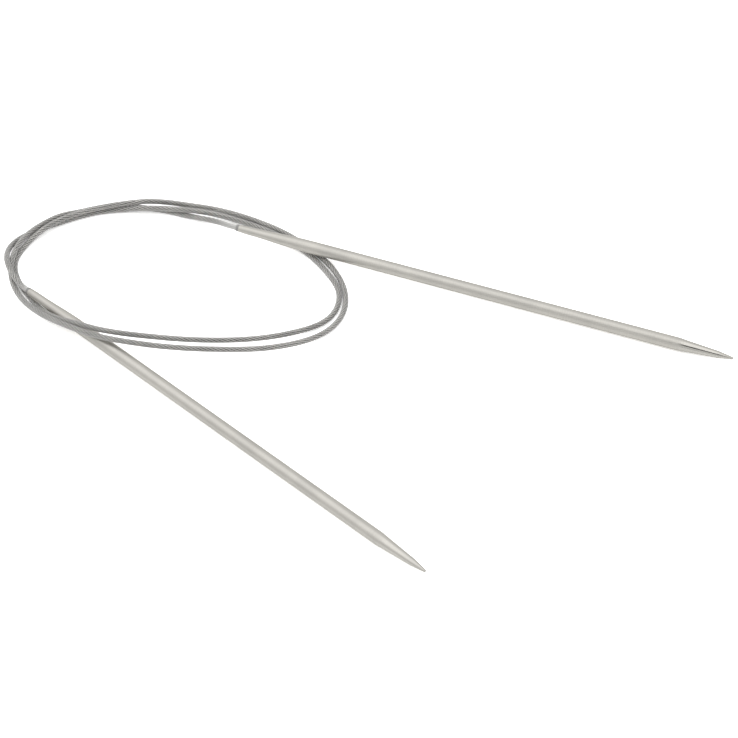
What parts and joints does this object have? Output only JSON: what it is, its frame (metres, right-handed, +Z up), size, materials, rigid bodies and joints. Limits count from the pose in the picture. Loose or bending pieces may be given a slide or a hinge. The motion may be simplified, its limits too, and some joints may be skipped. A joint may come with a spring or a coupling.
{
  "type": "circular knitting needle",
  "caption": "Fixed circular knitting needle: two rigid pointed steel tips joined by a long, thin, jacketed wire rope that rests coiled in an oval.",
  "frame": {"origin": "centre of the whole needle's box in plan, on the surface it rests on", "axes": "+Z up from that surface; +X along the longest extent, towards the upper needle's point; +Y away from the lower needle's point"},
  "size_m": [0.1914, 0.1236, 0.0064],
  "materials": {
    "needle_steel": "satin, fine marks round the shaft",
    "seal": "dark sealant",
    "clear_nylon": "clear extruded nylon",
    "rope_steel": "stranded wire"
  },
  "bodies": {
    "coil": {"jacket_coil": "clear_nylon", "rope_coil": "rope_steel"},
    "lead_a1": {"jacket_a1": "clear_nylon", "rope_a1": "rope_steel"},
    "lead_a2": {"jacket_a2": "clear_nylon", "rope_a2": "rope_steel"},
    "lead_a3": {"jacket_a3": "clear_nylon", "rope_a3": "rope_steel"},
    "lead_a4": {"jacket_a4": "clear_nylon", "rope_a4": "rope_steel"},
    "tip_a": {"needle_a": "needle_steel", "seal_ring_a": "seal", "jacket_socket_a": "clear_nylon", "rope_socket_a": "rope_steel"},
    "lead_b1": {"jacket_b1": "clear_nylon", "rope_b1": "rope_steel"},
    "lead_b2": {"jacket_b2": "clear_nylon", "rope_b2": "rope_steel"},
    "tip_b": {"needle_b": "needle_steel", "seal_ring_b": "seal", "jacket_socket_b": "clear_nylon", "rope_socket_b": "rope_steel"}
  },
  "joints": [
    {"name": "needle_a_lift", "type": "hinge", "parent": "coil", "child": "lead_a1", "pos_m": [-0.04284, 0.05473, 0.00179], "axis": [-0.3239, -0.9461, 0], "range_deg": [0, 20], "stiffness_Nm_per_rad": 0.002},
    {"name": "needle_a_swing", "type": "hinge", "parent": "lead_a1", "child": "lead_a2", "pos_m": [-0.04056, 0.05359, 0.00232], "axis": [0, 0, 1], "range_deg": [-9, 19], "stiffness_Nm_per_rad": 0.002},
    {"name": "needle_a_lift_mid", "type": "hinge", "parent": "lead_a2", "child": "lead_a3", "pos_m": [-0.03853, 0.05215, 0.00306], "axis": [-0.3239, -0.9461, 0], "range_deg": [0, 20], "stiffness_Nm_per_rad": 0.002},
    {"name": "needle_a_swing_end", "type": "hinge", "parent": "lead_a3", "child": "lead_a4", "pos_m": [-0.03651, 0.05066, 0.00373], "axis": [0, 0, 1], "range_deg": [-9, 19], "stiffness_Nm_per_rad": 0.002},
    {"name": "needle_a_lift_end", "type": "hinge", "parent": "lead_a4", "child": "tip_a", "pos_m": [-0.03419, 0.04954, 0.00397], "axis": [-0.3239, -0.9461, 0], "range_deg": [0, 20], "stiffness_Nm_per_rad": 0.002},
    {"name": "needle_b_swing", "type": "hinge", "parent": "coil", "child": "lead_b1", "pos_m": [-0.09447, 0.03742, 0.00373], "axis": [0, 0, 1], "range_deg": [0, 1.6], "stiffness_Nm_per_rad": 0.002},
    {"name": "needle_b_swing_mid", "type": "hinge", "parent": "lead_b1", "child": "lead_b2", "pos_m": [-0.09226, 0.03225, 0.0035], "axis": [0, 0, 1], "range_deg": [0, 1.6], "stiffness_Nm_per_rad": 0.002},
    {"name": "needle_b_swing_end", "type": "hinge", "parent": "lead_b2", "child": "tip_b", "pos_m": [-0.08849, 0.02809, 0.00271], "axis": [0, 0, 1], "range_deg": [0, 1.6], "stiffness_Nm_per_rad": 0.002}
  ],
  "couplings": [
    {"joint": "needle_a_lift_mid", "follows": "needle_a_lift", "ratio": 1},
    {"joint": "needle_a_lift_end", "follows": "needle_a_lift", "ratio": 1},
    {"joint": "needle_a_swing_end", "follows": "needle_a_swing", "ratio": 1},
    {"joint": "needle_b_swing_mid", "follows": "needle_b_swing", "ratio": 1},
    {"joint": "needle_b_swing_end", "follows": "needle_b_swing", "ratio": 1}
  ]
}
